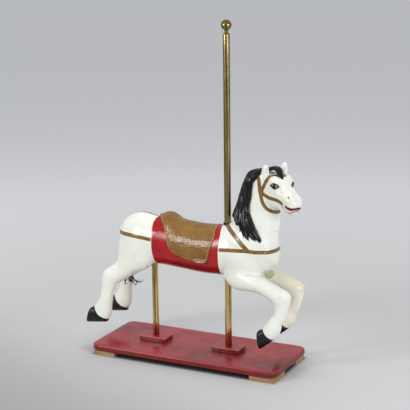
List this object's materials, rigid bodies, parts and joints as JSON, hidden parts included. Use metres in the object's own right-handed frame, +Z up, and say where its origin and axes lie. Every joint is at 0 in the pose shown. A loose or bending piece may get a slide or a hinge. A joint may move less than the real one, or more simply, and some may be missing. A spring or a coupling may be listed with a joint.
{
  "type": "carousel horse on a stand",
  "caption": "Painted carved carousel horse in a gallop, held by a tall brass pole and a short rear rod above a flat board on low feet.",
  "frame": {"origin": "middle of the whole thing's plan, on the floor under the feet", "axes": "+X is the way the horse runs, +Y is its left side, +Z is up"},
  "size_m": [1.0458, 0.375, 1.516],
  "materials": {
    "paint": "gloss cream paint on carved wood, with red, brown and black painted parts",
    "saddle": "tooled stiff leather with a bronze sheen",
    "hair": "coarse black hair",
    "brass": "polished brass, slightly tarnished",
    "black": "dull black",
    "red_paint": "gloss red paint with worn dark patches",
    "bare_wood": "bare softwood"
  },
  "bodies": {
    "root": {"horse": "paint", "saddle": "saddle", "tail": "hair", "pole": "brass", "finial": "brass", "collar": "black", "rear_rod": "brass", "base_board": "red_paint", "front_block": "red_paint", "rear_block": "red_paint", "foot_front_left": "bare_wood", "foot_front_right": "bare_wood", "foot_rear_left": "bare_wood", "foot_rear_right": "bare_wood"}
  },
  "joints": []
}
